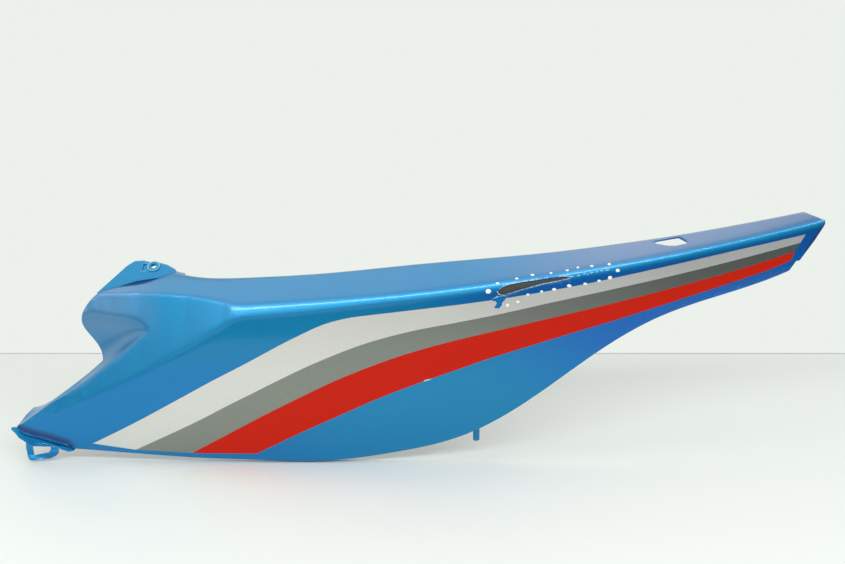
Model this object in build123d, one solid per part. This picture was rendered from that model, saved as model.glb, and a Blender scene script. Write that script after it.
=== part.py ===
from build123d import *
import math
import os

# A left rear side cover of a scooter: one thin moulding with turned-in edges.
# X runs along the scooter towards its tail, Y runs inwards and Z up.
# The form is drawn from the floor line that the cover stands on, and at the end
# everything moves so that the front screw hole is the origin.

# Overall size, and the size at which the outline below is drawn
LENGTH = 848.0
HEIGHT = 259.0
DRAWN_LENGTH = 848.0
DRAWN_HEIGHT = 259.0

# Moulding
WALL = 2.5
RETURN_DEPTH = 11.0
BAND_RETURN = 4.0
RIDGE_ROUND = 6.0
RIM_ROUND = 3.0
BACK = 160.0
AHEAD = -200.0

# Plan: the cover is widest at one station and sweeps in from there both ways
WIDEST = -40.0
TAIL_SWEEP_RADIUS = 1550.0
FRONT_SWEEP_RADIUS = 6500.0
BAND_SWEEP_RADIUS = 1250.0
VERTEX = -186.0

# Section: a bulged side, a blunt crease and a crowned band that leans inwards
SIDE_BULGE_RADIUS = 600.0
BAND_LEAN = 42.0
BAND_CROWN_RADIUS = 160.0
CREASE_LEAN = 22.0
CREASE_CUT_FRONT = 2.4
CREASE_CUT_TAIL = 1.4

# Front screw tab: a flat plate that starts behind the band's edge
JOGGLE = (-295.0, 190.4)
TAB_STEP = 4.0
TAB_LEAN = 50.0
TAB_TURN = 0.115
SCREW_HOLE = (-280.0, 203.0)
SCREW_RADIUS = 3.25
PAD_RADIUS = 6.5
PAD_RAISE = 1.2
KEY_LENGTH = 4.0
KEY_WIDTH = 9.0
KEY_DEPTH = 1.2
KEY_GAP = 1.5
KEY_DROP = 1.0
BLANK_SIZE = 160.0

# Slot in the band near the tail
SLOT_STATION = (254.0, 233.3)
SLOT_LENGTH = 33.0
SLOT_WIDTH = 10.0
SLOT_CORNER = 0.8

# Slotted tab that hangs from a sloping shelf below the front corner
SHELF_SETBACK = 10.0
SHELF_LEAN = 40.0
LOOP_SETBACK = 4.0

# Locating pin behind the lower edge
PIN_STATION = (57.0, 44.0)
PIN_RADIUS = 3.5
PIN_LENGTH = 25.5
PIN_SETBACK = 22.0
PIN_TIP = 1.0
BRACKET_WIDTH = 16.0
BRACKET_PLATE = 3.0
GUSSET_HEIGHT = 18.0

# Ribs inside the tail
RIB_HEIGHT = 8.0
RIB_THICKNESS = 1.8
RIB_STATIONS = (205.0, 290.0, 360.0)

# Scrape along the crease
SCRAPE_DEPTH = 1.5


def along(x):
    return x * LENGTH / DRAWN_LENGTH


def up(z):
    return z * HEIGHT / DRAWN_HEIGHT


def drawn(points):
    return [(along(x), up(z)) for x, z in points]


def plan_depth(x):
    """How far inwards the crease lies at station x."""
    run = x - along(WIDEST)
    radius = TAIL_SWEEP_RADIUS if run > 0 else FRONT_SWEEP_RADIUS
    return run * run / (2 * radius)


def band_sweep(x):
    """What the band's front end turns inwards beyond the crease line."""
    run = min(0, x - along(VERTEX))
    return run * run / (2 * BAND_SWEEP_RADIUS)


def crease_height(x):
    u = x * DRAWN_LENGTH / LENGTH
    return up(186.9 + 0.109 * u + u * u / 10060)


def side_point(x, z, inset=0):
    drop = z - crease_height(x)
    radius = SIDE_BULGE_RADIUS - inset
    bulge = radius - math.sqrt(radius * radius - drop * drop)
    return Vector(x, plan_depth(x) + inset + bulge, z)


def band_point(x, angle, inset=0):
    """A point of the crowned band, where its surface leans inwards by angle."""
    a, start = math.radians(angle), math.radians(BAND_LEAN)
    centre_y = plan_depth(x) + band_sweep(x) + BAND_CROWN_RADIUS * math.cos(start)
    centre_z = crease_height(x) - BAND_CROWN_RADIUS * math.sin(start)
    radius = BAND_CROWN_RADIUS - inset
    return Vector(x, centre_y - radius * math.cos(a), centre_z + radius * math.sin(a))


def band_point_at(x, z, inset=0.0):
    """The band's point at a height, found from where its crown circle reaches it."""
    centre_z = crease_height(x) - BAND_CROWN_RADIUS * math.sin(math.radians(BAND_LEAN))
    angle = math.degrees(math.asin((z - centre_z) / BAND_CROWN_RADIUS))
    return band_point(x, angle, inset)


def side_curve(x, inset):
    heights = (crease_height(x) + 60, crease_height(x) - 100, -30)
    return ThreePointArc(*[side_point(x, z, inset) for z in reversed(heights)])


def band_curve(x, inset):
    return ThreePointArc(*[band_point(x, angle, inset) for angle in (15, 50, 85)])


def leaning_line(x, y, z, lean, inset, reach):
    """A straight section through (y, z) whose surface leans inwards by lean."""
    a = math.radians(lean)
    along_line = Vector(0, math.sin(a), math.cos(a))
    start = Vector(x, y + inset / math.cos(a), z)
    return Line(start - along_line * reach, start + along_line * reach)


def crease_curve(x, inset):
    share = min(1, max(0, (x - along(VERTEX)) / (along(WIDEST) - along(VERTEX))))
    cut = CREASE_CUT_FRONT + share * (CREASE_CUT_TAIL - CREASE_CUT_FRONT)
    y = plan_depth(x) + cut / math.cos(math.radians(CREASE_LEAN))
    return leaning_line(x, y, crease_height(x), CREASE_LEAN, inset, 150)


# The front facet: station, height of its lower ridge, lean, and how far it
# stands out from the side there, where it runs off the cover past the vertex
FACET = [
    (-450, 24, -9, 0),
    (-400, 45, -3, 0),
    (-345, 71, 11, 0),
    (-290, 100, 14.5, 0),
    (-240, 129, 17, 0),
    (-200, 155, 20, 0),
    (-170, 172, 24, 1.5),
    (-135, 176, 24, 9),
]


def facet_curve(x, inset):
    z, lean, lift = min(FACET, key=lambda row: abs(along(row[0]) - x))[1:]
    foot = side_point(x, up(z))
    return leaning_line(x, foot.Y - lift, foot.Z, lean, inset, 190)


def ahead_of(curve, stations, inset):
    """What lies outside a skin that is lofted through one curve per drawn station."""
    faces = []
    for x in map(along, stations):
        skin = curve(x, inset)
        low, high = skin @ 0, skin @ 1
        outer_side = Polyline(high, (x, AHEAD, high.Z), (x, AHEAD, low.Z), low)
        faces.append(make_face([skin] + list(outer_side.edges())))
    return loft(faces)


def elevation(outline, y_from=-60.0, y_to=BACK):
    """A prism along Y over a face drawn in side elevation."""
    return extrude(Plane.XZ.offset(-y_from) * outline, amount=y_to - y_from, dir=(0, 1, 0))


# The cover's edge in side elevation, anticlockwise from the tail's top corner.
# Each span starts where the one before it ends.
SPANS = [
    (Spline, [(398.6, 258.2), (368, 253.4), (313, 245.3), (260, 237.9), (207, 231.5), (130, 223), (53, 216.3),
              (-23, 209.4), (-99, 201.9), (-176, 196.8), (-228, 195.7)]),
    (Spline, [(-256, 198.6), (-271.8, 193.9), (-284.2, 190), (-297, 187.6), (-310, 186), (-320, 184)]),
    (Spline, [(-334.8, 178.9), (-347, 164.5), (-351, 149), (-342.5, 132)]),
    (Spline, [(-330.6, 110), (-349.5, 93.6), (-376, 73.8), (-406.6, 54.5), (-417, 48.2)]),
    (Spline, [(-422.4, 38), (-416.5, 33), (-405.5, 29), (-388, 23.8)]),
    (Spline, [(-363, 15.2), (-297, 10.2), (-230, 5.4), (-165, 3), (-102, 2), (-30, 11.5), (29, 25.3), (65, 41),
              (125, 80.5), (203, 136), (245, 157), (307, 176)]),
    (Polyline, [(381.2, 198.1), (389, 209), (393, 209.5), (408.5, 230.3), (419.2, 246.5), (419.6, 250.4)]),
]


def moved_in(points, amount):
    """A closed loop of points, each moved inwards so that its sides move by amount."""
    moved = []
    for before, point, after in zip(points[-1:] + points[:-1], points, points[1:] + points[:1]):
        normals = []
        for start, end in ((before, point), (point, after)):
            run = Vector(end[0] - start[0], end[1] - start[1]).normalized()
            normals.append(Vector(-run.Y, run.X))
        both = normals[0] + normals[1]
        shift = both * (amount / (1 + normals[0].dot(normals[1])))
        moved.append((point[0] + shift.X, point[1] + shift.Y))
    return moved


def cover_outline(inset=0.0):
    points = moved_in(drawn([point for kind, span in SPANS for point in span]), inset)
    edges, first = [], 0
    for kind, span in SPANS:
        last = first + len(span)
        edges += kind(points[first:last] + [points[last % len(points)]]).edges()
        first = last
    return make_face(edges)


WHOLE = (-460, -330, -186, -40, 110, 240, 340, 440)
SKINS = [
    (side_curve, WHOLE),
    (band_curve, WHOLE),
    (crease_curve, (-460, -186, -110, -40, 110, 240, 340, 440)),
    (facet_curve, [row[0] for row in FACET]),
]


def behind_skins(block, inset):
    """What of a block lies behind the outer skins, or behind them moved in by inset."""
    for curve, stations in SKINS:
        block -= ahead_of(curve, stations, inset)
    return block


def edge_near(solid, x, z):
    """The edge of a solid's front whose middle lies nearest to (x, z) in elevation."""
    front = [edge for edge in solid.edges() if edge.center().Y < 90]
    return min(front, key=lambda edge: math.hypot(edge.center().X - along(x), edge.center().Z - up(z)))


# Middles of the ridges between the skins, and of the rims that are rounded:
# the top edge, the joggle's edge, the lip and the sill
RIDGES = [(-260, 183), (117, 204), (-300, 94), (-188, 169), (120, 198)]
LONG_RIMS = [(73, 219), (-297, 188), (-390, 25), (32, 27)]


def rounded(solid):
    solid = solid.fillet(RIDGE_ROUND, [edge_near(solid, x, z) for x, z in RIDGES])
    return solid.fillet(RIM_ROUND, [edge_near(solid, x, z) for x, z in LONG_RIMS])


# The scoop that opens at the neck and runs out along the front arm's upper edge:
# station, upper and lower edge, depth, and how deep and how high its lower wall
# has turned before the floor
SCOOP = [
    (-280, 148.5, 141.5, 0.6, 0.8, 2),
    (-290, 153.5, 135.5, 5, 6.5, 5),
    (-305, 157.5, 122.5, 10, 13, 9),
    (-322, 159.5, 109.5, 14, 20, 8),
    (-345, 160.5, 92.5, 17, 30, 4.5),
    (-368, 161, 76.3, 19, 32, 3.5),
    (-395, 161.5, 59.6, 20, 34, 2),
    (-430, 162, 42, 20, 34, 1.5),
]


def facet_y(x, z):
    """The facet's depth at (x, z), between the stations that it is lofted through."""
    rows = [facet_curve(along(row[0]), 0) for row in FACET]
    depths = []
    for line in rows:
        low, high = line @ 0, line @ 1
        depths.append((low.X, low.Y + (z - low.Z) * (high.Y - low.Y) / (high.Z - low.Z)))
    for (x0, y0), (x1, y1) in zip(depths, depths[1:]):
        if x <= x1:
            return y0 + (x - x0) * (y1 - y0) / (x1 - x0)
    return depths[-1][1]


def scoop(inset=0.0):
    """A hollow with a gentle upper slope and a steep lower wall, and its shape behind the wall."""
    faces = []
    for station, upper, lower, depth, wall_depth, wall_rise in SCOOP:
        x, top, foot = along(station), up(upper) + inset, up(lower) - inset
        y_top, y_foot = facet_y(x, top), facet_y(x, foot)
        floor = Bezier(
            (x, y_top, top),
            (x, y_top + 0.9 * (depth + inset), (top + foot) / 2),
            (x, y_foot + wall_depth + inset, foot + wall_rise),
            (x, y_foot, foot),
        )
        outside = Polyline((x, y_foot, foot), (x, AHEAD / 4, foot), (x, AHEAD / 4, top), (x, y_top, top))
        faces.append(make_face([floor] + list(outside.edges())))
    return loft(faces)


# A rectangle that the whole cover lies inside, and what of it the band's upper part
# lies in behind the screw tab
ROOM = [(-440, -35), (435, -35), (435, 295), (-440, 295)]
BAND_ROOM = [(-246, 184), (-150, 183), (100, 209), (250, 231), (435, 262), (435, 295), (-246, 295)]


def beyond_band():
    """What lies deeper behind the band's upper part than its edge is turned in."""
    band_room = elevation(make_face(Polyline(*drawn(BAND_ROOM), close=True)))
    return Pos(0, BAND_RETURN, 0) * behind_skins(band_room, 0)


def shell():
    outer = rounded(behind_skins(elevation(cover_outline()), 0).solids()[0]) - scoop()
    inner = behind_skins(elevation(cover_outline(WALL)), WALL) - scoop(WALL)
    room = elevation(make_face(Polyline(*drawn(ROOM), close=True)))
    beyond_returns = Pos(0, RETURN_DEPTH, 0) * (behind_skins(room, 0) - scoop())
    return outer - inner - beyond_returns - beyond_band()


def tab_face():
    """The screw tab's outer plane, with its origin at the middle of the screw hole."""
    root = band_point_at(along(JOGGLE[0]), up(JOGGLE[1]), TAB_STEP)
    slope = math.tan(math.radians(TAB_LEAN))
    x, z = along(SCREW_HOLE[0]), up(SCREW_HOLE[1])
    y = root.Y + (z - root.Z) * slope - TAB_TURN * (x - root.X)
    return Plane(origin=(x, y, z), x_dir=(1, -TAB_TURN, 0), z_dir=(-TAB_TURN, -1, slope))


TAB_OUTLINE = [
    (-254, 196.5), (-257, 200.5), (-266, 204.2), (-279, 206.8), (-285, 206.4), (-293, 207.6), (-302, 207),
    (-309, 203), (-335.5, 179.6), (-332, 178.5), (-311, 186.2), (-295, 190.6),
]


def blank():
    """The flat plate that the tab and the shelf are cut from."""
    return Box(BLANK_SIZE, BLANK_SIZE, WALL, align=(Align.CENTER, Align.CENTER, Align.MAX))


def screw_tab():
    face = tab_face()
    tab = face * blank() & elevation(make_face(Polyline(*drawn(TAB_OUTLINE), close=True)))
    tab += face * Pos(0, 0, PAD_RAISE) * Cylinder(
        PAD_RADIUS, WALL + PAD_RAISE, align=(Align.CENTER, Align.CENTER, Align.MAX)
    )
    return tab


def screw_hole():
    return tab_face() * Cylinder(SCREW_RADIUS, 4 * (WALL + PAD_RAISE))


def key_pocket():
    """The small rectangular step beside the screw pad."""
    middle = -PAD_RADIUS - KEY_GAP - KEY_LENGTH / 2
    return tab_face() * Pos(middle, -KEY_DROP, 0) * Box(KEY_LENGTH, KEY_WIDTH, 2 * KEY_DEPTH)


LIP_POINT = (-393.0, 27.0)
LIP_SLOPE = 0.37
SHELF_OUTLINE = [
    (-430.4, 36.8), (-430.2, 35.3), (-426.6, 32.6), (-421, 27.2), (-414.5, 23.2), (-407.2, 20.4), (-397.6, 18.8),
    (-389.2, 17.7), (-383.4, 16), (-377.5, 13.8), (-371, 11.6), (-366.1, 12.1), (-364, 14.5), (-366, 18),
    (-383, 25.5), (-405, 31.5), (-418, 36.5),
]
LOOP_OUTLINE = [(-415.2, 26), (-415.4, 15), (-414.5, 6.1), (-412.2, 2.2), (-408.4, 2), (-390.2, 4.2),
                (-384.6, 6.8), (-382, 9.9), (-381.5, 18)]
LOOP_WINDOW = [(-408.9, 17.5), (-390, 17.2), (-389.5, 15), (-391.6, 10.6), (-408.1, 7.1)]


def front_loop():
    """A sloping shelf under the lip, and a flat tab with a window that hangs from it."""
    x, z = along(LIP_POINT[0]), up(LIP_POINT[1])
    lip_y = side_point(x, z).Y
    slope = math.tan(math.radians(SHELF_LEAN))
    face = Plane(origin=(x, lip_y + SHELF_SETBACK, z), x_dir=(1, LIP_SLOPE * slope, 0),
                 z_dir=(LIP_SLOPE * slope, -1, slope))
    shelf = face * blank() & elevation(make_face(Polyline(*drawn(SHELF_OUTLINE), close=True)))
    outline = make_face(Polyline(*drawn(LOOP_OUTLINE), close=True))
    outline -= make_face(Polyline(*drawn(LOOP_WINDOW), close=True))
    loop_y = lip_y + LOOP_SETBACK
    return shelf + elevation(outline, loop_y, loop_y + WALL)


# The slot's corners as shares of its length and its width
SLOT_SHAPE = [(-0.5, 0.5), (0.3, 0.42), (0.5, -0.36), (0.465, -0.6), (0.08, -0.6), (-0.15, -0.42), (-0.5, 0.15)]


def band_slot():
    x, z = along(SLOT_STATION[0]), up(SLOT_STATION[1])
    centre = band_point_at(x, z)
    ahead_x = x + SLOT_LENGTH
    ahead = band_point_at(ahead_x, z + crease_height(ahead_x) - crease_height(x))
    run = (ahead - centre).normalized()
    outward = run.cross((band_point_at(x, z + SLOT_WIDTH) - centre).normalized())
    outline = Polyline(*[(u * SLOT_LENGTH, v * SLOT_WIDTH) for u, v in SLOT_SHAPE], close=True)
    window = fillet(make_face(outline).vertices(), SLOT_CORNER)
    return extrude(Plane(origin=centre, x_dir=run, z_dir=outward) * window, amount=SLOT_WIDTH, both=True)


def locating_pin():
    """A gusseted bracket behind the lower edge, with a pin that points down."""
    x, z = along(PIN_STATION[0]), up(PIN_STATION[1])
    wall_y = side_point(x, z).Y + WALL / 2
    end_y = wall_y + PIN_SETBACK + BRACKET_WIDTH / 2
    corner = (Align.CENTER, Align.MIN, Align.MIN)
    plate = Pos(x, wall_y, z) * Box(BRACKET_WIDTH, end_y - wall_y, BRACKET_PLATE, align=corner)
    top = z + BRACKET_PLATE + GUSSET_HEIGHT
    web = make_face(Polyline(
        (wall_y, z), (end_y, z), (end_y, z + BRACKET_PLATE), (side_point(x, top).Y + WALL / 2, top), close=True,
    ))
    for side in (-1, 1):
        gusset = extrude(Plane.YZ * web, amount=RIB_THICKNESS / 2, both=True)
        plate += Pos(x + side * (BRACKET_WIDTH - RIB_THICKNESS) / 2, 0, 0) * gusset
    pin = Pos(x, wall_y + PIN_SETBACK, z + BRACKET_PLATE / 2) * Cylinder(
        PIN_RADIUS, PIN_LENGTH + BRACKET_PLATE / 2, align=(Align.CENTER, Align.CENTER, Align.MAX)
    )
    tip = pin.faces().sort_by(Axis.Z)[0].edges()
    return plate + chamfer(tip, PIN_TIP)


def tail_ribs():
    """Low cross ribs that follow the inside of the crease."""
    blocks = Part()
    for station in RIB_STATIONS:
        blocks += Pos(along(station), 60, up(210)) * Box(RIB_THICKNESS, 200, 160)
    blocks &= elevation(cover_outline(WALL / 2))
    return behind_skins(blocks, WALL / 2) - behind_skins(blocks, WALL + RIB_HEIGHT) - beyond_band()


SCRAPE_TOP = [(75.4, 188.7), (79, 192.5), (86.5, 195.4), (101, 198.1), (120.3, 200.6), (139.6, 202.7), (149, 202)]
SCRAPE_FOOT = [(149, 202), (139.5, 199.5), (120.2, 196.1), (101, 191.1), (86.5, 186.9), (80.5, 185.4), (75.4, 188.7)]


def scrape():
    """The long worn patch on the crease, as deep as SCRAPE_DEPTH all over."""
    outline = make_face([Spline(drawn(SCRAPE_TOP)), Spline(drawn(SCRAPE_FOOT))])
    patch = elevation(outline)
    return patch - behind_skins(patch, SCRAPE_DEPTH)


def side_panel():
    panel = shell() + screw_tab() + front_loop() + locating_pin() + tail_ribs()
    panel = panel - screw_hole() - key_pocket() - band_slot() - scrape()
    origin = tab_face() * Pos(0, 0, PAD_RAISE)
    return Pos(*(-origin.position)) * panel


if __name__ == "__main__":
    os.makedirs("parts", exist_ok=True)
    export_step(side_panel(), "parts/side_panel.step")
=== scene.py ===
import math
import bmesh
import bpy
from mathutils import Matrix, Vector, noise
from mathutils.bvhtree import BVHTree
from mathutils.kdtree import KDTree


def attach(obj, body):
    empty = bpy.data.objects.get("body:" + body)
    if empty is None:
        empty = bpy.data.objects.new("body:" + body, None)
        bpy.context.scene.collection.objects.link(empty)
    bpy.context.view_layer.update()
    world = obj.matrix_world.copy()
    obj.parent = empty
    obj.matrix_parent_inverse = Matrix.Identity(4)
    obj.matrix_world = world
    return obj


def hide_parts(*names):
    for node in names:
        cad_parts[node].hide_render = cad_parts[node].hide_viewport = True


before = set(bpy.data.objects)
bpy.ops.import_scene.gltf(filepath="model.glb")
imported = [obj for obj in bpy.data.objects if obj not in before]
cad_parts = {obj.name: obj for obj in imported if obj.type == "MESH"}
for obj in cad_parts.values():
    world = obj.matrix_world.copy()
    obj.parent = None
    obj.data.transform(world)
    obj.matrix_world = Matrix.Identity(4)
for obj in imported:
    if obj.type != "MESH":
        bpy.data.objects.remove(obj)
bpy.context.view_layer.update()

# The cover is drawn in millimetres from the floor line that it stands on; the
# model's origin is its front screw hole, which has this place in that drawing.
HOLE = Vector((-280.0885, 60.0271, 203.9168))
MM = 0.001

# The way in from outside, a depth in front of all of the cover, and a distance
# past any on it
INWARD = Vector((0, 1, 0))
AHEAD = -100
FAR = 999


def placed(x, y, z):
    return (Vector((x, y, z)) - HOLE) * MM


def drawn(point):
    return point / MM + HOLE


def clamped(share):
    return min(1, max(0, share))


def eased(share):
    """A smooth step from 0 to 1."""
    share = clamped(share)
    return share * share * (3 - 2 * share)


# The outer skin, as in the drawing of the moulding: a bulged side, a blunt crease
# and a crowned band that leans inwards, swept back from the cover's widest station
WIDEST = -40
VERTEX = -186
TAIL_SWEEP_RADIUS = 1550
FRONT_SWEEP_RADIUS = 6500
BAND_SWEEP_RADIUS = 1250
SIDE_BULGE_RADIUS = 600
BAND_CROWN_RADIUS = 160
BAND_LEAN = math.radians(42)
CREASE_LEAN = math.radians(22)
CREASE_CUT_FRONT = 2.4
CREASE_CUT_TAIL = 1.4
RIDGE_EASE = 1.8
FACET_EASE = 2.2


def crease_height(x):
    return 186.9 + 0.109 * x + x * x / 10060


def plan_depth(x):
    run = x - WIDEST
    return run * run / (2 * (TAIL_SWEEP_RADIUS if run > 0 else FRONT_SWEEP_RADIUS))


def side_y(x, z):
    drop = z - crease_height(x)
    return plan_depth(x) + SIDE_BULGE_RADIUS - math.sqrt(SIDE_BULGE_RADIUS**2 - drop * drop)


def band_y(x, z):
    turn = min(0, x - VERTEX) ** 2 / (2 * BAND_SWEEP_RADIUS)
    rise = z - crease_height(x) + BAND_CROWN_RADIUS * math.sin(BAND_LEAN)
    if rise > BAND_CROWN_RADIUS - 2:
        return FAR
    crown = math.sqrt(BAND_CROWN_RADIUS**2 - rise * rise)
    return plan_depth(x) + turn + BAND_CROWN_RADIUS * math.cos(BAND_LEAN) - crown


def crease_y(x, z):
    share = clamped((x - VERTEX) / (WIDEST - VERTEX))
    cut = CREASE_CUT_FRONT + share * (CREASE_CUT_TAIL - CREASE_CUT_FRONT)
    return plan_depth(x) + cut / math.cos(CREASE_LEAN) + (z - crease_height(x)) * math.tan(CREASE_LEAN)


# The front facet at its stations: place along the cover, height of its lower
# ridge, lean, and how far it stands out from the side there
FACET = [
    (-450, 24, -9, 0), (-400, 45, -3, 0), (-345, 71, 11, 0), (-290, 100, 14.5, 0),
    (-240, 129, 17, 0), (-200, 155, 20, 0), (-170, 172, 24, 1.5), (-135, 176, 24, 9),
]


def facet_y(x, z):
    depths = [
        (station, side_y(station, low) - lift + (z - low) * math.tan(math.radians(lean)))
        for station, low, lean, lift in FACET
    ]
    for (x0, y0), (x1, y1) in zip(depths, depths[1:]):
        if x <= x1:
            return y0 + (x - x0) * (y1 - y0) / (x1 - x0)
    return -FAR


def soft_larger(a, b, width):
    """The larger of two depths, with the ridge between them eased over a width."""
    ease = max(width - abs(a - b), 0) / width
    return max(a, b) + ease * ease * width / 4


def skin_y(x, z):
    body = soft_larger(side_y(x, z), crease_y(x, z), RIDGE_EASE)
    body = soft_larger(body, band_y(x, z), RIDGE_EASE)
    return soft_larger(body, facet_y(x, z), FACET_EASE)


def new_object(name, bm):
    mesh = bpy.data.meshes.new(name)
    bm.to_mesh(mesh)
    bm.free()
    piece = bpy.data.objects.new(name, mesh)
    bpy.context.scene.collection.objects.link(piece)
    return piece


def finish_piece(piece, material):
    piece.data.materials.clear()
    piece.data.materials.append(material)
    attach(piece, "root")
    return piece


def principled(name, **values):
    material = bpy.data.materials.new(name)
    material.use_nodes = True
    shader = material.node_tree.nodes["Principled BSDF"]
    for socket, value in values.items():
        shader.inputs[socket.replace("_", " ")].default_value = value
    return material, shader


def nodes_of(owner):
    """The two calls that link and add nodes in a material's or a world's own tree."""
    tree = owner.node_tree

    def add(kind, **settings):
        node = tree.nodes.new(kind)
        for key, value in settings.items():
            if hasattr(node, key):
                setattr(node, key, value)
            else:
                node.inputs[key.replace("_", " ")].default_value = value
        return node

    return tree.links.new, add


def srgb(r, g, b):
    def linear(c):
        c /= 255
        return c / 12.92 if c <= 0.04045 else ((c + 0.055) / 1.055) ** 2.4

    return linear(r), linear(g), linear(b), 1


def turned(link, add, colour, attribute, other):
    """The colour, going over to another one where the vertex attribute says."""
    share = add("ShaderNodeAttribute", attribute_name=attribute)
    mixed = add("ShaderNodeMix", data_type="RGBA")
    link(share.outputs["Fac"], mixed.inputs["Factor"])
    link(colour, mixed.inputs["A"])
    mixed.inputs["B"].default_value = other
    return mixed.outputs["Result"]


def flake_paint(
    name, dark, light, metallic, roughness, coat, coat_roughness=0.1, specular=0.5, shades=()
):
    """A metallic finish: fine flake in the colour, its shades by vertex attribute, painted shade and sheen
    among them, and a coat.
    """
    material, shader = principled(
        name, Metallic=metallic, Coat_Weight=coat, Coat_Roughness=coat_roughness,
        Specular_IOR_Level=specular,
    )
    link, add = nodes_of(material)
    place = add("ShaderNodeTexCoord")
    grains = add("ShaderNodeTexNoise", Scale=1500, Detail=1)
    sheen = add("ShaderNodeTexNoise", Scale=14, Detail=4)
    tone = add("ShaderNodeMix", data_type="RGBA")
    haze = add("ShaderNodeMapRange", From_Min=0.3, From_Max=0.7)
    haze.inputs["To Min"].default_value = roughness - 0.03
    haze.inputs["To Max"].default_value = roughness + 0.03
    link(place.outputs["Object"], grains.inputs["Vector"])
    link(place.outputs["Object"], sheen.inputs["Vector"])
    link(grains.outputs["Fac"], tone.inputs["Factor"])
    tone.inputs["A"].default_value = dark
    tone.inputs["B"].default_value = light
    link(sheen.outputs["Fac"], haze.inputs["Value"])
    link(haze.outputs["Result"], shader.inputs["Roughness"])
    colour = tone.outputs["Result"]
    for attribute, other in shades:
        colour = turned(link, add, colour, attribute, other)
    link(colour, shader.inputs["Base Color"])
    return material


def blue_paint():
    """The cover's own blue, with painted shade deepening it towards the tail and low at the front and
    darkening it above the lip, and pale dust with a painted sheen where it faces up.
    """
    return flake_paint(
        "blue_paint", srgb(0, 118, 170), srgb(8, 138, 188), 0.7, 0.38, 0.5, specular=0.35,
        shades=(
            # Painted shade: a deeper blue on the sides towards the tail and low at the front
            ("side_shade", srgb(0, 98, 192)),
            # Painted shade: a dark blue just above the lip
            ("lip_shade", srgb(0, 64, 124)),
            # Pale dust, with a painted sheen of the overhead light, on what faces up
            ("dust_and_sheen", srgb(166, 162, 182)),
        ),
    )


def silver_film():
    return flake_paint(
        "silver_film", srgb(198, 199, 193), srgb(226, 226, 220), 0.6, 0.42, 0.3, 0.25,
        # Painted shade darkens the film towards the tail
        shades=(("film_tail_shade", srgb(192, 194, 192)),),
    )


def grey_film():
    return flake_paint(
        "grey_film", srgb(112, 118, 110), srgb(150, 156, 147), 0.75, 0.42, 0.2, 0.25,
        # Painted shade darkens the film towards the tail
        shades=(("film_tail_shade", srgb(98, 103, 100)),),
    )


def red_film():
    return flake_paint("red_film", srgb(184, 26, 6), srgb(194, 32, 10), 0.0, 0.5, 0.04, 0.2, 0.1)


def bared_blue():
    """The paint under the film, dull where the film was torn off."""
    return flake_paint("bared_blue", srgb(0, 104, 176), srgb(10, 128, 196), 0.6, 0.45, 0.2)


def step_shade_blue():
    """A dark blue, painted shade in the step behind the band's edge."""
    return flake_paint("step_shade_blue", srgb(0, 62, 128), srgb(4, 82, 152), 0.5, 0.5, 0.2)


def rim_highlight_blue():
    """A pale blue, painted highlight on the thin edges round the screw."""
    return flake_paint("rim_highlight_blue", srgb(70, 170, 215), srgb(150, 215, 238), 0.3, 0.35, 0.5)


def black_plastic():
    """Bare moulded plastic with a fine grain, misted blue where the spray came round the edges."""
    material, shader = principled("black_plastic")
    link, add = nodes_of(material)
    place = add("ShaderNodeTexCoord")
    mist = add("ShaderNodeAttribute", attribute_name="mist")
    grain = add("ShaderNodeTexNoise", Scale=700, Detail=3)
    speckle = add("ShaderNodeTexNoise", Scale=320, Detail=4)
    cloud = add("ShaderNodeTexNoise", Scale=22, Detail=3)
    spray = add("ShaderNodeMath", operation="MULTIPLY_ADD")
    cover_in = add("ShaderNodeMapRange", From_Min=0.62, From_Max=0.95)
    colour = add("ShaderNodeMix", data_type="RGBA")
    dull = add("ShaderNodeMapRange", To_Min=0.45, To_Max=0.7)
    bump = add("ShaderNodeBump", Strength=0.3, Distance=0.0002)
    for texture in (grain, speckle, cloud):
        link(place.outputs["Object"], texture.inputs["Vector"])
    link(mist.outputs["Fac"], spray.inputs[0])
    spray.inputs[1].default_value = 0.9
    link(speckle.outputs["Fac"], spray.inputs[2])
    link(spray.outputs["Value"], cover_in.inputs["Value"])
    link(cover_in.outputs["Result"], colour.inputs["Factor"])
    colour.inputs["A"].default_value = srgb(24, 25, 27)
    colour.inputs["B"].default_value = srgb(14, 92, 148)
    link(colour.outputs["Result"], shader.inputs["Base Color"])
    link(cloud.outputs["Fac"], dull.inputs["Value"])
    link(dull.outputs["Result"], shader.inputs["Roughness"])
    link(grain.outputs["Fac"], bump.inputs["Height"])
    link(bump.outputs["Normal"], shader.inputs["Normal"])
    return material


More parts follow.
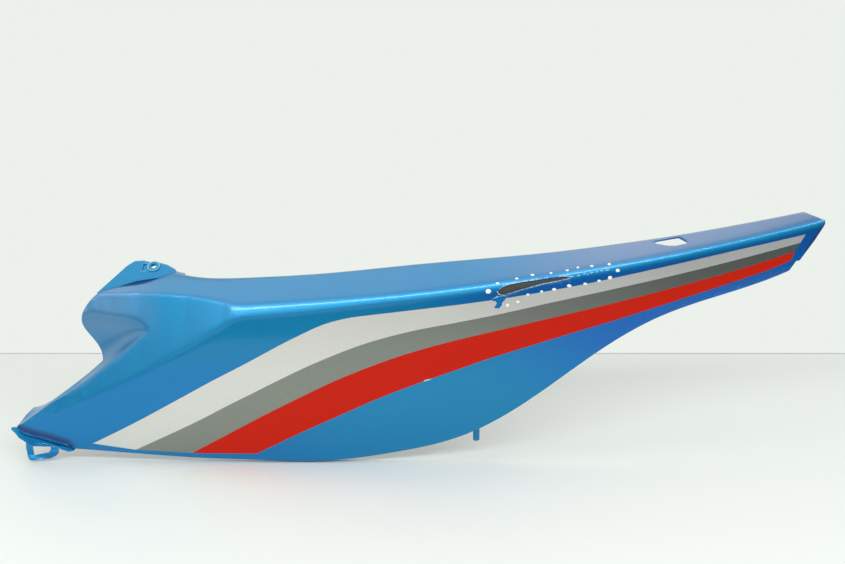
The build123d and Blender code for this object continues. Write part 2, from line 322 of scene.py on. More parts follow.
def scraped_plastic():
    """The scrape's floor: torn fibres in dark grey, with brown dirt at its round front end."""
    material, shader = principled("scraped_plastic", Roughness=0.85)
    link, add = nodes_of(material)
    place = add("ShaderNodeTexCoord")
    stretch = add("ShaderNodeMapping")
    stretch.inputs["Scale"].default_value = (60, 500, 700)
    fibres = add("ShaderNodeTexNoise", Scale=1, Detail=6, Roughness=0.7)
    patches = add("ShaderNodeTexNoise", Scale=160, Detail=3)
    split = add("ShaderNodeSeparateXYZ")
    front_end = add("ShaderNodeMapRange", From_Min=0.40, From_Max=0.355, To_Min=0.12, To_Max=0.8)
    tone = add("ShaderNodeMix", data_type="RGBA")
    stained = add("ShaderNodeMix", data_type="RGBA")
    stain = add("ShaderNodeMath", operation="MULTIPLY")
    bump = add("ShaderNodeBump", Strength=0.9, Distance=0.001)
    link(place.outputs["Object"], stretch.inputs["Vector"])
    link(stretch.outputs["Vector"], fibres.inputs["Vector"])
    link(place.outputs["Object"], patches.inputs["Vector"])
    link(place.outputs["Object"], split.inputs["Vector"])
    link(split.outputs["X"], front_end.inputs["Value"])
    link(fibres.outputs["Fac"], tone.inputs["Factor"])
    tone.inputs["A"].default_value = srgb(18, 24, 26)
    tone.inputs["B"].default_value = srgb(88, 102, 104)
    link(front_end.outputs["Result"], stain.inputs[0])
    link(patches.outputs["Fac"], stain.inputs[1])
    link(stain.outputs["Value"], stained.inputs["Factor"])
    link(tone.outputs["Result"], stained.inputs["A"])
    stained.inputs["B"].default_value = srgb(74, 54, 38)
    link(stained.outputs["Result"], shader.inputs["Base Color"])
    link(fibres.outputs["Fac"], bump.inputs["Height"])
    link(bump.outputs["Normal"], shader.inputs["Normal"])
    return material


def chalky(name, dark, light, roughness=0.6):
    """A thick matt paint, or a chipped edge of it, with a mottled tone and a rough face."""
    material, shader = principled(name, Roughness=roughness)
    link, add = nodes_of(material)
    place = add("ShaderNodeTexCoord")
    mottle = add("ShaderNodeTexNoise", Scale=900, Detail=4)
    tone = add("ShaderNodeMix", data_type="RGBA")
    bump = add("ShaderNodeBump", Strength=0.4, Distance=0.0004)
    link(place.outputs["Object"], mottle.inputs["Vector"])
    link(mottle.outputs["Fac"], tone.inputs["Factor"])
    tone.inputs["A"].default_value = dark
    tone.inputs["B"].default_value = light
    link(tone.outputs["Result"], shader.inputs["Base Color"])
    link(mottle.outputs["Fac"], bump.inputs["Height"])
    link(bump.outputs["Normal"], shader.inputs["Normal"])
    return material


# The long scrape on the crease, anticlockwise from its round front end, and the
# span and the depths behind the skin that its floor lies between
GASH = [
    (75.4, 188.7), (76.6, 186.8), (80.5, 185.4), (86.5, 186.9), (101, 191.1), (120.2, 196.1),
    (139.5, 199.5), (149, 202), (139.6, 202.7), (120.3, 200.6), (101, 198.1), (86.5, 195.4), (79, 192.5),
]
GASH_SPAN = (70, 152)
GASH_FLOOR = (0.3, 2.2)

# The lip at the front foot, the share of a height above it that lies square to
# it, and the station that it ends before
LIP = [(-425, 37), (-416.5, 33), (-405.5, 29), (-388, 23.8), (-363, 15.2)]
SQUARE_TO_LIP = 0.93
LIP_END = -355


def within(outline, x, z):
    inside = False
    for (x0, z0), (x1, z1) in zip(outline, outline[1:] + outline[:1]):
        if (z0 > z) != (z1 > z) and x < x0 + (z - z0) * (x1 - x0) / (z1 - z0):
            inside = not inside
    return inside


def reach_to(line, x, z):
    """The distance in elevation from (x, z) to an open line of points."""
    nearest = FAR
    for (x0, z0), (x1, z1) in zip(line, line[1:]):
        run, rise = x1 - x0, z1 - z0
        share = clamped(((x - x0) * run + (z - z0) * rise) / (run * run + rise * rise))
        nearest = min(nearest, math.hypot(x - x0 - share * run, z - z0 - share * rise))
    return nearest


# The band's upper edge beside the tab (station, depth, height) and the tab's lower
# edge (station, height), whose depth is that of the tab's leaning face
BAND_EDGE = [
    (-328, 36.2, 181.8), (-318, 37.6, 184.6), (-302, 37.9, 187.2), (-286, 38.6, 189.8),
    (-278, 40.4, 192), (-270, 43.4, 194.8), (-262, 46, 197.2), (-257, 46.6, 198.2),
]
TAB_EDGE = [(-332, 178.5), (-311, 186.2), (-295, 190.6), (-254, 196.5)]


def height_on(line, x):
    """The last coordinate of a line of points, at x."""
    for start, end in zip(line, line[1:]):
        if x <= end[0] or end is line[-1]:
            return start[-1] + (x - start[0]) * (end[-1] - start[-1]) / (end[0] - start[0])


# The screw tab's leaning face, under its raised pad: where the hole's axis meets
# it, its lean, its turn, and the station that the tab ends at
HOLE_ON_TAB = (-280, 60.8, 203)
TAB_LEAN = math.radians(50)
TAB_TURN = 0.115
TAB_END = -252


def tab_y(x, z):
    """The depth of the screw tab's leaning face."""
    hole_x, hole_y, hole_z = HOLE_ON_TAB
    return hole_y + (z - hole_z) * math.tan(TAB_LEAN) - TAB_TURN * (x - hole_x)


def on_tab(x, y, z):
    return x < TAB_END and z > height_on(BAND_EDGE, x) - 1 and y > tab_y(x, z) - 3


# The line round the scoop where the facet turns down into it, the station that
# all of its softened edge lies before, and the scoop's own end and heights
BRINK = [
    (-395, 161.5), (-345, 160.5), (-322, 159.5), (-305, 157.5), (-290, 153.5), (-280, 148.5),
    (-277, 145), (-280, 141.5), (-290, 135.5), (-305, 122.5), (-322, 109.5), (-345, 92.5),
    (-368, 76.3), (-395, 59.6),
]
BRINK_END = -262
SCOOP_END = -274
SCOOP_HEIGHTS = (88, 166)


def in_scoop(x, z):
    return x < SCOOP_END and SCOOP_HEIGHTS[0] < z < SCOOP_HEIGHTS[1]


def lip_reach(x, z):
    """How far above the lip a place on the side lies."""
    for (x0, z0), (x1, z1) in zip(LIP, LIP[1:]):
        if x <= x1 or x1 == LIP[-1][0]:
            return (z - z0 - (x - x0) * (z1 - z0) / (x1 - x0)) * SQUARE_TO_LIP


def finest_edge(x, z):
    """How long an edge may be at (x, z): shortest at the lip, short at ridges and scoop."""
    if x < LIP_END and reach_to(LIP, x, z) < 4:
        return 0.8
    if x < LIP_END and reach_to(LIP, x, z) < 13:
        return 1.6
    if x < BRINK_END and reach_to(BRINK, x, z) < 10:
        return 2
    if x < -270:
        return 4
    return 4 if abs(z - crease_height(x)) < 14 else 8


def seen_first(surface, x, z):
    """The first place on the surface that someone in front of the cover sees at (x, z)."""
    return surface.ray_cast(placed(x, AHEAD, z), INWARD)[0]


def turns_into_scoop(vert, surface):
    """Whether a corner lies on the outer skin at the scoop's brink, clear of the cover's own edge."""
    x, y, z = drawn(vert.co)
    if x > BRINK_END or reach_to(BRINK, x, z) > 7 or on_tab(x, y, z):
        return False
    front = seen_first(surface, x, z)
    if front is None or drawn(front).y < y - 1:
        return False
    around = ((-3, 0), (3, 0), (0, 3), (0, -3))
    return all(seen_first(surface, x + dx, z + dz) for dx, dz in around)


# What has a normal with a y below this looks outwards
OUTWARD = -0.3
NEARLY_FLAT = math.radians(6)


def is_outer(edge):
    """Whether an edge belongs to a face that looks outwards."""
    return any(face.normal.y < OUTWARD for face in edge.link_faces)


def even_triangles(bm):
    """Turns the edges of narrow triangles on the outer skin, where it is nearly flat."""
    faces = [face for face in bm.faces if face.normal.y < OUTWARD]
    edges = [edge for edge in bm.edges if is_outer(edge) and edge.calc_face_angle(1) < NEARLY_FLAT]
    bmesh.ops.beautify_fill(bm, faces=faces, edges=edges, method="ANGLE")
    bm.normal_update()


SMOOTHING_STEPS = 14
LIP_GROOVE_DEPTH = 1.6


def lay_on_skin(bm):
    """Lays the outer faces on the smooth skin, where they lie close to it."""
    for vert in bm.verts:
        x, y, z = drawn(vert.co)
        if vert.normal.y > OUTWARD or on_tab(x, y, z):
            continue
        gap = skin_y(x, z) - y
        hold = clamped((gap + 1.0) / 0.6) * clamped((2.4 - gap) / 0.8)
        vert.co.y += gap * hold * MM


def round_brink(bm):
    """Rounds the edge where the facet turns down into the scoop."""
    surface = BVHTree.FromBMesh(bm)
    brink = [vert for vert in bm.verts if turns_into_scoop(vert, surface)]
    for step in range(SMOOTHING_STEPS):
        bmesh.ops.smooth_vert(
            bm, verts=brink, factor=0.5, use_axis_x=True, use_axis_y=True, use_axis_z=True
        )


def on_lip_side(x, y, z):
    """Whether a place lies at the outer face near the lip."""
    return x < LIP_END and y < side_y(x, z) + 5


def hollow_lip(bm):
    """Presses a shallow groove into the side just above the lip."""
    for vert in bm.verts:
        x, y, z = drawn(vert.co)
        if on_lip_side(x, y, z):
            reach = lip_reach(x, z)
            fade = clamped((-364 - x) / 12)
            groove = eased((12 - reach) / 8.6) * eased((reach - 0.7) / 1.7)
            vert.co.y += fade * LIP_GROOVE_DEPTH * groove * MM


# The ways that the spray came from: outside, above, below and both ends
SPRAY_FROM = [
    (0, -1, 0), (0, -0.7, 0.7), (0, -0.7, -0.7), (0.7, -0.7, 0), (-0.7, -0.7, 0),
    (0, 0, 1), (0, 0, -1), (1, 0, 0), (-1, 0, 0),
    (0.7, 0, 0.7), (-0.7, 0, 0.7), (0.7, 0, -0.7), (-0.7, 0, -0.7),
]


def sprayed(face, surface):
    """Whether paint reaches a face: something outside the cover sees it, and it isn't far inside."""
    middle = face.calc_center_median()
    x, y, z = drawn(middle)
    if face.normal.y > 0.5 or y - skin_y(x, z) > 30:
        return False
    for way in SPRAY_FROM:
        way = Vector(way)
        start = middle + face.normal * 0.0002
        if face.normal.dot(way) > 0.15 and surface.ray_cast(start, way)[0] is None:
            return True
    return False


# Dust, and painted sheen of the overhead light, lie thickest on what faces this way: up, and a little to
# the front
DUST_AND_SHEEN_WAY = Vector((-0.35, 0, 0.94))


def dust_and_sheen_share(vert):
    """How much pale dust and painted sheen lies on the paint: on what faces up, and at the horn and in the
    scoop.
    """
    x, y, z = drawn(vert.co)
    if on_tab(x, y, z):
        return 0
    upward = eased((vert.normal.dot(DUST_AND_SHEEN_WAY) - 0.25) / 0.5)
    tailward = 0.15 + 0.42 * eased((x - 20) / 220)
    horn = clamped((-262 - x) / 50) * clamped((z - 130) / 25) * 0.2
    hollow = clamped((y - skin_y(x, z) - 1) / 8) * 0.14 if in_scoop(x, z) else 0
    return (tailward * upward + horn + hollow) * eased((x + 372) / 30)


def side_shade_share(vert):
    """How much painted shade deepens the blue: most on the side towards the tail, and some low on its
    front.
    """
    x, y, z = drawn(vert.co)
    sideways = 1 - eased(vert.normal.z / 0.2)
    rearward = eased((vert.co.x + 1.5 * vert.co.z - 0.15) / 0.27)
    below_crease = eased((crease_height(x) - 30 - z) / 40)
    low_front = eased((-60 - x) / 120) * eased((skin_y(x, z) - y + 3) / 2) * below_crease
    return max(0.85 * rearward * sideways, 0.28 * low_front * sideways)


def lip_shade_share(vert):
    """How much painted shade darkens the blue just above the lip."""
    x, y, z = drawn(vert.co)
    if not on_lip_side(x, y, z):
        return 0
    reach = lip_reach(x, z)
    return eased((-358 - x) / 14) * eased((13 - reach) / 9) * eased(reach / 2)


def too_long(edge, coarse):
    middle = (drawn(edge.verts[0].co) + drawn(edge.verts[1].co)) / 2
    return edge.calc_length() / MM > coarse * finest_edge(middle.x, middle.z)


def split_into_triangles(bm):
    bmesh.ops.triangulate(bm, faces=[face for face in bm.faces if len(face.verts) > 3])
    bm.normal_update()


def divide(bm):
    """Halves the long edges, the longest first, until each is as short as its place asks."""
    for coarse in (16, 8, 4, 2, 1, 1):
        bmesh.ops.subdivide_edges(bm, edges=[edge for edge in bm.edges if too_long(edge, coarse)], cuts=1)
        split_into_triangles(bm)
        even_triangles(bm)


# The finishes by their place in the cover's list of materials
PAINTED = 0
BARE = 1
SCRAPED = 2
SHARP_ANGLE = math.radians(32)
MIST_REACH = 9


def in_gash(face):
    """Whether a face is part of the scrape's floor."""
    x, y, z = drawn(face.calc_center_median())
    if face.normal.y >= 0.3 or not GASH_SPAN[0] < x < GASH_SPAN[1] or not within(GASH, x, z):
        return False
    return GASH_FLOOR[0] < y - skin_y(x, z) < GASH_FLOOR[1]


def mark_finishes(bm):
    """Tells painted, bare and scraped faces apart, and keeps the sharp edges sharp."""
    surface = BVHTree.FromBMesh(bm)
    for face in bm.faces:
        face.smooth = True
        if in_gash(face):
            face.material_index = SCRAPED
        else:
            face.material_index = PAINTED if sprayed(face, surface) else BARE
    for edge in bm.edges:
        edge.smooth = edge.calc_face_angle(0) < SHARP_ANGLE


def where_paint_ends(edge):
    return {face.material_index for face in edge.link_faces} == {PAINTED, BARE}


def mark_shades(bm):
    """Writes the spray mist, the dust with its painted sheen, and the painted shades of the blue on the
    corners.
    """
    borders = [edge for edge in bm.edges if where_paint_ends(edge)]
    tree = KDTree(len(borders))
    for i, edge in enumerate(borders):
        tree.insert(edge.verts[0].co, i)
    tree.balance()
    mist = bm.verts.layers.float.new("mist")
    dust_and_sheen = bm.verts.layers.float.new("dust_and_sheen")
    side_shade = bm.verts.layers.float.new("side_shade")
    lip_shade = bm.verts.layers.float.new("lip_shade")
    for vert in bm.verts:
        vert[mist] = math.exp(-tree.find(vert.co)[2] / MM / MIST_REACH)
        vert[dust_and_sheen] = dust_and_sheen_share(vert)
        vert[side_shade] = side_shade_share(vert)
        vert[lip_shade] = lip_shade_share(vert)


def cover_skin():
    """The moulding's own surface, divided finely and laid on the smooth outer skin."""
    bm = bmesh.new()
    bm.from_mesh(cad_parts["side_panel"].data)
    bmesh.ops.remove_doubles(bm, verts=bm.verts, dist=0.01 * MM)
    divide(bm)
    bmesh.ops.dissolve_degenerate(bm, dist=0.25 * MM, edges=bm.edges)
    lay_on_skin(bm)
    round_brink(bm)
    hollow_lip(bm)
    bmesh.ops.dissolve_degenerate(bm, dist=0.1 * MM, edges=bm.edges)
    split_into_triangles(bm)
    mark_finishes(bm)
    mark_shades(bm)
    skin = new_object("painted_cover", bm)
    skin.data.materials.append(blue_paint())
    skin.data.materials.append(black_plastic())
    skin.data.materials.append(scraped_plastic())
    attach(skin, "root")
    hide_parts("side_panel")
    return skin


cover = cover_skin()
cover_surface = BVHTree.FromObject(cover, bpy.context.evaluated_depsgraph_get())


def on_cover(x, z, lift):
    """The place on the cover's outer skin at (x, z) in elevation, raised off it by lift."""
    hit, normal, face, distance = cover_surface.ray_cast(placed(x, AHEAD, z), INWARD)
    if hit is None:
        return placed(x, side_y(x, z) - lift, z)
    return hit + normal * (lift * MM)


# Stripe film: each edge of a stripe runs from the lower end up to the tail end
SILVER_TOP = [
    (-343.8, 22.6), (-298.3, 46.9), (-244.3, 77.9), (-212.4, 96.2), (-175.9, 116), (-141.7, 135.2),
    (-109.1, 151.7), (-93, 158), (-76.9, 162.1), (-61, 164.6), (-13.1, 170.3), (34.8, 175.8),
    (82.6, 181.9), (119.6, 187.4), (168.1, 195.4), (188.9, 199.2), (259, 212.3), (319.8, 223.6),
    (397.5, 237),
]
SILVER_FOOT = [
    (-299.4, 15.6), (-238.8, 46.2), (-197.6, 69), (-177.6, 79.6), (-145.9, 96.5), (-110, 114.4),
    (-61.4, 134.5), (-13.2, 148.3), (35, 157.5), (77.9, 165.6), (136, 177.6), (201.2, 190),
    (259.5, 201.2), (320.4, 213.4), (392.2, 228.4),
]
GREY_FOOT = [
    (-240.5, 12.1), (-179.3, 47.6), (-165.6, 55.4), (-127.6, 75.9), (-85.9, 97), (-45.5, 114),
    (-13.2, 125.5), (27, 136.9), (78.2, 148.8), (136.5, 161.5), (201.8, 175.4), (260.2, 188.3),
    (320, 202.2), (386.5, 219.2),
]
RED_FOOT = [
    (-173.5, 11.6), (-161.3, 18), (-126.9, 36.2), (-83.6, 57.4), (-47.6, 74.7), (-5.2, 92.2),
    (35.4, 106.9), (72.4, 119.8), (137.2, 139.2), (202.7, 157.4), (276.1, 178.2), (353.2, 199.8),
    (383, 210.2),
]


def along_points(points, share):
    """The place at a share of the way along a smooth line through points."""
    lengths = [math.dist(a, b) for a, b in zip(points, points[1:])]
    run = share * sum(lengths)
    for i, length in enumerate(lengths):
        if run <= length or i == len(lengths) - 1:
            break
        run -= length
    t = min(1, run / length)
    before = points[max(i - 1, 0)]
    after = points[min(i + 2, len(points) - 1)]
    start, end = Vector(points[i]), Vector(points[i + 1])
    pull_in = (end - Vector(before)) / 2
    pull_out = (Vector(after) - start) / 2
    return (
        start * (2 * t**3 - 3 * t**2 + 1) + pull_in * (t**3 - 2 * t**2 + t)
        + end * (3 * t**2 - 2 * t**3) + pull_out * (t**3 - t**2)
    )


def film_outward(bm):
    """Turns the faces of what is laid on the skin outwards, and shades them smoothly."""
    bmesh.ops.recalc_face_normals(bm, faces=bm.faces)
    if sum(face.normal.y for face in bm.faces) > 0:
        bmesh.ops.reverse_faces(bm, faces=bm.faces)
    for face in bm.faces:
        face.smooth = True


FILM_LIFT = 0.16


def stripe(name, top, foot, material):
    """A strip of film between two edges, laid on the skin, with painted shade darkening it towards the
    tail.
    """
    bm = bmesh.new()
    bmesh.ops.create_grid(bm, x_segments=220, y_segments=10, size=1)
    film_tail_shade = bm.verts.layers.float.new("film_tail_shade")
    for vert in bm.verts:
        u, v = (vert.co.x + 1) / 2, (vert.co.y + 1) / 2
        x, z = along_points(top, u) * v + along_points(foot, u) * (1 - v)
        vert.co = on_cover(x, z, FILM_LIFT)
        # Painted shade: the film darkens towards the tail
        vert[film_tail_shade] = eased((x + 10) / 400)
    film_outward(bm)
    return finish_piece(new_object(name, bm), material)


def closed_round(points, share):
    """The place at a share of the way round a closed smooth line through points."""
    return along_points(points + points[:1], share)


def spot(bm, outline, lift, sides, rough=0.0):
    """A flat patch with a smooth or ragged outline, laid on the skin."""
    circle = bmesh.ops.create_circle(bm, cap_ends=True, cap_tris=True, segments=sides, radius=1)
    middle = sum((Vector(point) for point in outline), Vector((0, 0))) / len(outline)
    for vert in circle["verts"]:
        if vert.co.length < 0.5:
            x, z = middle
        else:
            turn = math.atan2(vert.co.y, vert.co.x) / math.tau % 1
            edge = closed_round(outline, turn)
            wander = 1 + rough * noise.noise(Vector((edge.x, edge.y, 7)) * 0.9)
            x, z = middle + (edge - middle) * wander
        vert.co = on_cover(x, z, lift)


def rim(name, outline, inner, outer, material, lift, segments):
    """A ragged ribbon of chipped edge round an outline."""
    bm = bmesh.new()
    bmesh.ops.create_grid(bm, x_segments=segments, y_segments=1, size=1)
    for vert in bm.verts:
        share = (vert.co.x + 1) / 2
        edge = closed_round(outline, share % 1)
        ahead = closed_round(outline, (share + 0.004) % 1)
        run = (ahead - closed_round(outline, (share - 0.004) % 1)).normalized()
        out = Vector((run.y, -run.x))
        ragged = 0.45 + 0.9 * noise.noise(Vector((edge.x, edge.y, 3)) * 0.9)
        reach = inner if vert.co.y < 0 else inner + (outer - inner) * max(0, ragged)
        x, z = edge + out * reach
        vert.co = on_cover(x, z, lift)
    bmesh.ops.remove_doubles(bm, verts=bm.verts, dist=0.00002)
    film_outward(bm)
    return finish_piece(new_object(name, bm), material)


# Where the silver film is torn off below the scrape the blue shows again
TEAR = [
    (68.2, 180.6), (71.8, 178.4), (73.6, 175.8), (71.7, 172.6), (74.6, 171.3),
    (79.1, 173.5), (80.5, 177.8), (83.6, 181.4), (84, 184.4), (76, 183.6),
]

# Chips in the film and the paint
CHIPS = [
    [(71.4, 178.2), (73.6, 176.2), (74.6, 176.4), (73.4, 178.4), (72, 179.4)],
    [(1.3, 94.4), (5, 95.3), (9.5, 97.3), (5.4, 96.9), (2, 95.9)],
]

# Flecks of rubbed paint on from the scrape's tip, then round the tear: place,
# length and tilt
SCUFFS = [
    (150.6, 202.7, 3.2, 0.1), (156.8, 203.5, 4.6, 0.2), (162.9, 204.9, 2.6, 0.1),
    (166.2, 204.4, 1.6, 0.4), (169.8, 205.9, 4.4, 0.2), (175.4, 206.7, 2.8, 0.3),
    (180.3, 207.8, 3.6, 0.1), (186.6, 208.3, 4.8, 0.2),
    (77.6, 183.2, 2.2, 1.9), (80.2, 182, 1.8, 2.1), (82.4, 180, 2.4, 1.2), (74.6, 184, 1.6, 2.4),
    (69.6, 181, 2.6, 2.5), (72.8, 182.6, 1.6, 2.7), (78.8, 179.8, 1.4, 0.8), (76.2, 177.4, 1.2, 1.1),
]


def bare_patch(paint):
    bm = bmesh.new()
    spot(bm, TEAR, 0.3, sides=96, rough=0.2)
    film_outward(bm)
    return finish_piece(new_object("torn_patch", bm), paint)


def flecks(paint):
    bm = bmesh.new()
    for outline in CHIPS:
        spot(bm, outline, 0.4, sides=16)
    for x, z, length, tilt in SCUFFS:
        run = Vector((math.cos(tilt), math.sin(tilt))) * length / 2
        side = Vector((-run.y, run.x)).normalized() * 0.45
        middle = Vector((x, z))
        spot(bm, [middle + run, middle + side, middle - run, middle - side], 0.25, sides=14, rough=0.5)
    film_outward(bm)
    return finish_piece(new_object("chips_and_scuffs", bm), paint)


# Small dabs of white paint round the scrape: place, length and width
DABS = [
    (65.8, 189.2, 5.6, 4.6), (75, 196.9, 3.8, 2.2), (94.5, 201.3, 3.4, 2), (110.4, 204.5, 4.4, 2.1),
    (129.1, 206.1, 3, 1.9), (145.6, 208.5, 3.2, 1.9), (156.5, 210.9, 3, 2), (170.6, 212.3, 3.8, 2.1),
    (188.3, 213.8, 3.4, 2.4), (196.8, 207.6, 4.6, 3.4), (188.9, 200.3, 4.6, 3.8),
    (177.9, 197.4, 3.8, 2.6), (163.6, 194.8, 4.2, 2.4), (147.3, 193.3, 5, 2.9),
    (132.2, 189.9, 4.4, 2.9), (119.6, 188, 3, 2.6), (105.8, 185.1, 3.2, 2.3), (95.7, 177.9, 3.6, 2.6),
    (85.3, 174.6, 3.4, 3.6),
]
DAB_THICKNESS = 0.9


def white_dabs(paint):
    """Rounded drops of paint, each as thick as it dried on the skin."""
    bm = bmesh.new()
    for i, (x, z, length, width) in enumerate(DABS):
        place = on_cover(x, z, 0)
        lean = math.atan2(on_cover(x, z + 2, 0).y - on_cover(x, z - 2, 0).y, 4 * MM)
        drop = bmesh.ops.create_uvsphere(bm, u_segments=16, v_segments=10, radius=0.5 * MM)["verts"]
        bmesh.ops.scale(bm, vec=(length, DAB_THICKNESS, width), verts=drop)
        for vert in drop:
            vert.co *= 1 + 0.14 * noise.noise(vert.co / MM * 0.8 + Vector((i, 0, 0)))
            y, z_off = vert.co.y, vert.co.z
            vert.co.y = y * math.cos(lean) + z_off * math.sin(lean)
            vert.co.z = z_off * math.cos(lean) - y * math.sin(lean)
        bmesh.ops.translate(bm, vec=place, verts=drop)
    for face in bm.faces:
        face.smooth = True
    return finish_piece(new_object("white_dabs", bm), paint)


def dark_tail_edge(material):
    """A narrow black ribbon laid on the skin along the edge that closes the tail."""
    bm = bmesh.new()
    edge = [(398.5, 219.4), (406, 230.2), (412.4, 239.4), (418.4, 247.6)]
    inner = [(398, 219.7), (405.1, 230.9), (411.8, 239.9), (418.2, 247.8)]
    bmesh.ops.create_grid(bm, x_segments=40, y_segments=1, size=1)
    for vert in bm.verts:
        share = (vert.co.x + 1) / 2
        x, z = along_points(edge if vert.co.y < 0 else inner, share)
        vert.co = on_cover(x, z, 0.12)
    film_outward(bm)
    return finish_piece(new_object("dark_tail_edge", bm), material)


def joggle_web(paint):
    """The hollow step that joins the band's edge to the tab behind it, curved in section; its dark blue is
    painted shade.
    """
    bm = bmesh.new()
    bmesh.ops.create_grid(bm, x_segments=48, y_segments=8, size=1)
    for vert in bm.verts:
        along, up = (vert.co.x + 1) / 2, (vert.co.y + 1) / 2
        x = BAND_EDGE[0][0] + along * (BAND_EDGE[-1][0] - BAND_EDGE[0][0])
        low_z = height_on(BAND_EDGE, x) - 0.7
        low_y = height_on([(place[0], place[1]) for place in BAND_EDGE], x) + 0.9
        high_z = max(height_on(TAB_EDGE, x) + 1.2, low_z + 1.3)
        high_y = tab_y(x, high_z) - 0.15
        corner = 2 * up * (1 - up)
        y = low_y * (1 - up) ** 2 + high_y * (corner + up * up)
        z = low_z * ((1 - up) ** 2 + corner) + high_z * up * up
        vert.co = placed(x, y, z)
    film_outward(bm)
    return finish_piece(new_object("joggle_web", bm), paint)


TAB_FACING = Vector((-TAB_TURN, -1, math.tan(TAB_LEAN))).normalized()
TAB_ALONG = Vector((1, -TAB_TURN, 0)).normalized()

# Ridges on the tab, as rings from the outside in: half length, half width, height
PAD_RIM = [(6.6, 6.6, -0.8), (6.4, 6.4, 0.1), (5.6, 5.6, 0.05)]
POCKET_RIM = [(3.1, 5.6, -1.25), (2.5, 5, -0.45), (1.9, 4.4, -1.6)]
POCKET_MIDDLE = (-10, -1)


def raised_ring(bm, sides, middle, rings):
    """A low ridge on the tab: rings of one outline, each with its half sizes and height, bridged."""
    loops = []
    for half_x, half_y, height in rings:
        loop = bmesh.ops.create_circle(bm, segments=sides, radius=1)["verts"]
        for vert in loop:
            turn = math.atan2(vert.co.y, vert.co.x) + math.pi / sides
            spread = 1 / max(abs(math.cos(turn)), abs(math.sin(turn))) if sides == 4 else 1
            across = middle[0] + half_x * spread * math.cos(turn)
            upward = middle[1] + half_y * spread * math.sin(turn)
            vert.co = (TAB_ALONG * across + TAB_FACING.cross(TAB_ALONG) * upward + TAB_FACING * height) * MM
        loops.append([edge for edge in bm.edges if edge.verts[0] in loop])
    for one, other in zip(loops, loops[1:]):
        bmesh.ops.bridge_loops(bm, edges=one + other)
    bmesh.ops.recalc_face_normals(bm, faces=bm.faces)


def highlit_rims(paint):
    """The thin edges of the screw pad and of the key pocket beside it, bright with painted highlight."""
    bm = bmesh.new()
    raised_ring(bm, 48, (0, 0), PAD_RIM)
    raised_ring(bm, 4, POCKET_MIDDLE, POCKET_RIM)
    if sum(face.normal.dot(TAB_FACING) for face in bm.faces) < 0:
        bmesh.ops.reverse_faces(bm, faces=bm.faces)
    return finish_piece(new_object("highlit_rims", bm), paint)


stripe("silver_stripe", SILVER_TOP, SILVER_FOOT, silver_film())
stripe("grey_stripe", SILVER_FOOT, GREY_FOOT, grey_film())
stripe("red_stripe", GREY_FOOT, RED_FOOT, red_film())
bare_patch(bared_blue())
joggle_web(step_shade_blue())
highlit_rims(rim_highlight_blue())
primer = chalky("chipped_primer", srgb(120, 172, 200), srgb(212, 224, 226))
rim("chipped_rim", GASH, 0.05, 1.3, primer, 0.14, 320)
# The pale ribbon at the torn film's edge: the torn film, with painted highlight where its lifted edge
# catches the light
torn_film_highlight = chalky("torn_film_highlight", srgb(196, 204, 204), srgb(236, 238, 234))
rim("torn_film_edge", TEAR, -0.1, 0.5, torn_film_highlight, 0.34, 90)
flecks(primer)
white_dabs(chalky("white_correction_paint", srgb(236, 238, 236), srgb(250, 250, 248), 0.5))
dark_tail_edge(black_plastic())

# Stage: the table that the cover stands on, a pale room round it and its lamps.
# The table ends a little way in front of the cover, as dark room lies beyond it
STAGE_MIDDLE = 0.28
STAGE_HALF_WIDTH = 4
FLOOR_HEIGHT = -0.2039
FLOOR_BACK = 0.4027
FLOOR_HALF_DEPTH = 0.4214
JOINT_HALF_DEPTH = 0.0016
JOINT_HEIGHT = -0.2036


def flat_sheet(name, middle_y, half_depth, height, finish, colour, roughness):
    """A plain sheet of the stage."""
    bm = bmesh.new()
    bmesh.ops.create_grid(bm, x_segments=1, y_segments=1, size=1)
    bmesh.ops.scale(bm, vec=(STAGE_HALF_WIDTH, half_depth, 1), verts=bm.verts)
    bmesh.ops.translate(bm, vec=(STAGE_MIDDLE, middle_y, height), verts=bm.verts)
    sheet = new_object(name, bm)
    material, shader = principled(finish, Roughness=roughness)
    shader.inputs["Base Color"].default_value = colour
    sheet.data.materials.append(material)


def floor():
    flat_sheet(
        "studio_floor", FLOOR_BACK - FLOOR_HALF_DEPTH, FLOOR_HALF_DEPTH, FLOOR_HEIGHT,
        "floor_white", srgb(238, 242, 236), 0.5,
    )


def wall_joint():
    """The thin dark line where the table meets the wall."""
    flat_sheet(
        "wall_joint", FLOOR_BACK - JOINT_HALF_DEPTH, JOINT_HALF_DEPTH, JOINT_HEIGHT,
        "joint_grey", srgb(206, 210, 203), 0.8,
    )


# Each lamp: its name, its place, what it is aimed at, its length, width and power
LAMPS = [
    ("overhead_softbox", (0.25, -0.1, 1.7), (0.25, 0, 0), 2.4, 1.4, 6.6),
    ("front_strip", (0.2, -1.6, 1.0), (0.2, 0, 0), 2.4, 0.16, 19.5),
    ("tail_strip", (1.95, -1.3, 1.15), (0.5, 0, 0), 1.2, 0.14, 5.6),
    ("front_fill", (-0.1, -1.7, 0.45), (-0.1, 0, 0), 1.3, 0.7, 2.1),
    ("low_front_fill", (-0.1, -1.2, -0.19), (0.1, 0, -0.05), 0.9, 0.2, 0.45),
]


def lamp(name, place, aim, length, width, power):
    data = bpy.data.lights.new(name, "AREA")
    data.shape = "RECTANGLE"
    data.size = length
    data.size_y = width
    data.energy = power
    light = bpy.data.objects.new(name, data)
    light.location = place
    light.rotation_euler = (Vector(aim) - Vector(place)).to_track_quat("-Z", "Y").to_euler()
    light.visible_camera = False
    bpy.context.scene.collection.objects.link(light)


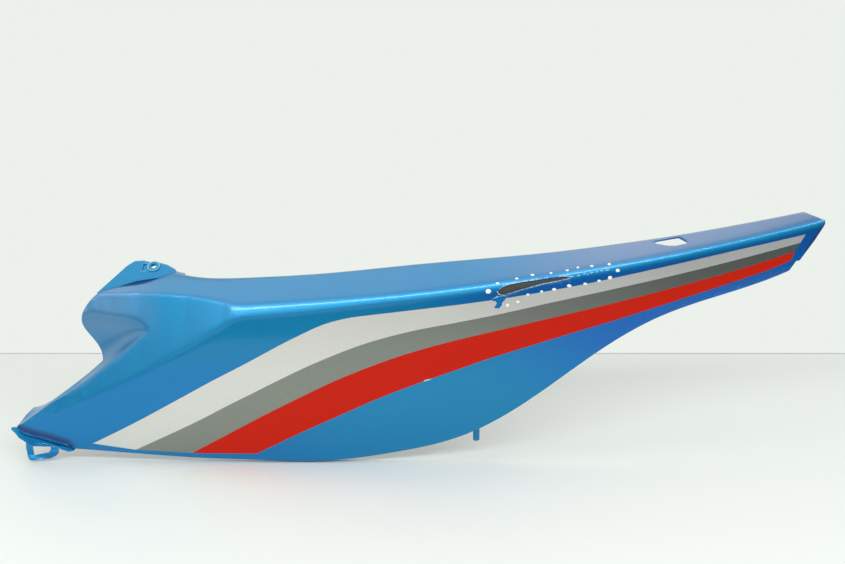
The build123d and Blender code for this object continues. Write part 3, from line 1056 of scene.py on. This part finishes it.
def room_light(link, add, split):
    """The light that the room gives: less from below, and less and bluer from the tail's side."""
    height = add("ShaderNodeMapRange", From_Min=-0.36, From_Max=0.35, To_Min=0.08, To_Max=0.72)
    across = add("ShaderNodeMapRange", From_Min=-0.6, From_Max=0.7, To_Min=1.35, To_Max=0.35)
    level = add("ShaderNodeMath", operation="MULTIPLY")
    tint = add("ShaderNodeMix", data_type="RGBA")
    room = add("ShaderNodeBackground")
    link(split.outputs["Z"], height.inputs["Value"])
    link(split.outputs["X"], across.inputs["Value"])
    link(height.outputs["Result"], level.inputs[0])
    link(across.outputs["Result"], level.inputs[1])
    link(level.outputs["Value"], room.inputs["Strength"])
    tint.inputs["A"].default_value = (0.7, 0.82, 1.05, 1)
    tint.inputs["B"].default_value = (1, 1, 0.98, 1)
    link(across.outputs["Result"], tint.inputs["Factor"])
    link(tint.outputs["Result"], room.inputs["Color"])
    return room.outputs["Background"]


def shows_wall(link, add, split):
    """1 for a ray that sees the pale wall: straight from the camera, or mirrored to the back."""
    path = add("ShaderNodeLightPath")
    behind = add("ShaderNodeMath", operation="GREATER_THAN")
    gloss = add("ShaderNodeMath", operation="MAXIMUM")
    mirrored = add("ShaderNodeMath", operation="MULTIPLY")
    shown = add("ShaderNodeMath", operation="MAXIMUM")
    behind.inputs[1].default_value = 0.1
    link(split.outputs["Y"], behind.inputs[0])
    link(path.outputs["Is Glossy Ray"], gloss.inputs[0])
    link(path.outputs["Is Transmission Ray"], gloss.inputs[1])
    link(gloss.outputs["Value"], mirrored.inputs[0])
    link(behind.outputs["Value"], mirrored.inputs[1])
    link(path.outputs["Is Camera Ray"], shown.inputs[0])
    link(mirrored.outputs["Value"], shown.inputs[1])
    return shown.outputs["Value"]


def surroundings():
    """A pale room, darker below and on the tail's side, behind a plain pale wall."""
    world = bpy.data.worlds.new("pale_room")
    bpy.context.scene.world = world
    world.use_nodes = True
    world.node_tree.nodes.clear()
    link, add = nodes_of(world)
    out = add("ShaderNodeOutputWorld")
    way = add("ShaderNodeTexCoord")
    split = add("ShaderNodeSeparateXYZ")
    wall = add("ShaderNodeBackground")
    mix = add("ShaderNodeMixShader")
    link(way.outputs["Generated"], split.inputs["Vector"])
    wall.inputs["Color"].default_value = srgb(236, 241, 235)
    link(shows_wall(link, add, split), mix.inputs["Fac"])
    link(room_light(link, add, split), mix.inputs[1])
    link(wall.outputs["Background"], mix.inputs[2])
    link(mix.outputs["Shader"], out.inputs["Surface"])


floor()
wall_joint()
surroundings()
for row in LAMPS:
    lamp(*row)

# The camera: in front of the cover, looking down a little as in the photo. Its
# focal length is in the photo's own pixels
PHOTO_WIDTH = 845
FOCAL_LENGTH = 1250
SENSOR_WIDTH = 36
CAMERA_PLACE = placed(0, -1217, 458.297)
CAMERA_LOOKS_DOWN = 12

camera = bpy.data.objects.new("camera", bpy.data.cameras.new("camera"))
camera.data.sensor_width = SENSOR_WIDTH
camera.data.lens = FOCAL_LENGTH / PHOTO_WIDTH * SENSOR_WIDTH
camera.location = CAMERA_PLACE
camera.rotation_euler = (math.radians(90 - CAMERA_LOOKS_DOWN), 0, 0)
bpy.context.scene.collection.objects.link(camera)
bpy.context.scene.camera = camera
bpy.context.scene.view_settings.view_transform = "Standard"
